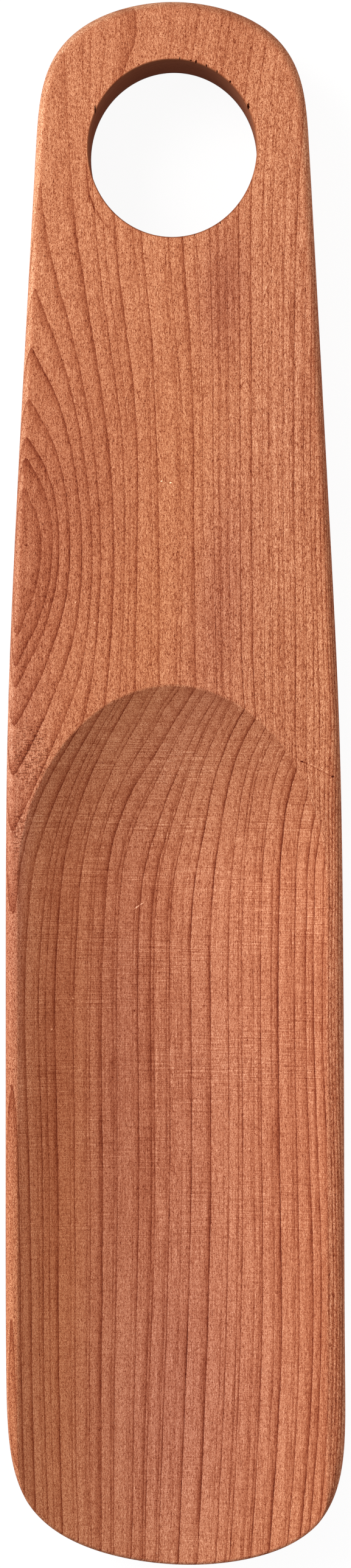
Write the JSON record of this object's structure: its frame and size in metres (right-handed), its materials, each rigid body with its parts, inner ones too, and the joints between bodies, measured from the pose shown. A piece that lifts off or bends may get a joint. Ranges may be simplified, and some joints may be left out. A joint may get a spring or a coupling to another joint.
{
  "type": "shoehorn",
  "caption": "Short one-piece wooden shoehorn: flat handle with an oval finger and hanging hole, flaring into a scooped blade with a thin round tip.",
  "frame": {"origin": "centre of the bounding box at its bottom: the shoehorn lies on its back on the surface Z = 0", "axes": "+Y along the length, from the blade's tip to the handle's hole end; +X across it, to the right when seen from the front with the handle up; +Z out of the scooped front, through the thickness"},
  "size_m": [0.0411, 0.19, 0.013],
  "materials": {
    "cedar": "bare reddish cedar, sanded smooth, matte to satin"
  },
  "bodies": {
    "root": {"shoehorn_body": "cedar"}
  },
  "joints": []
}
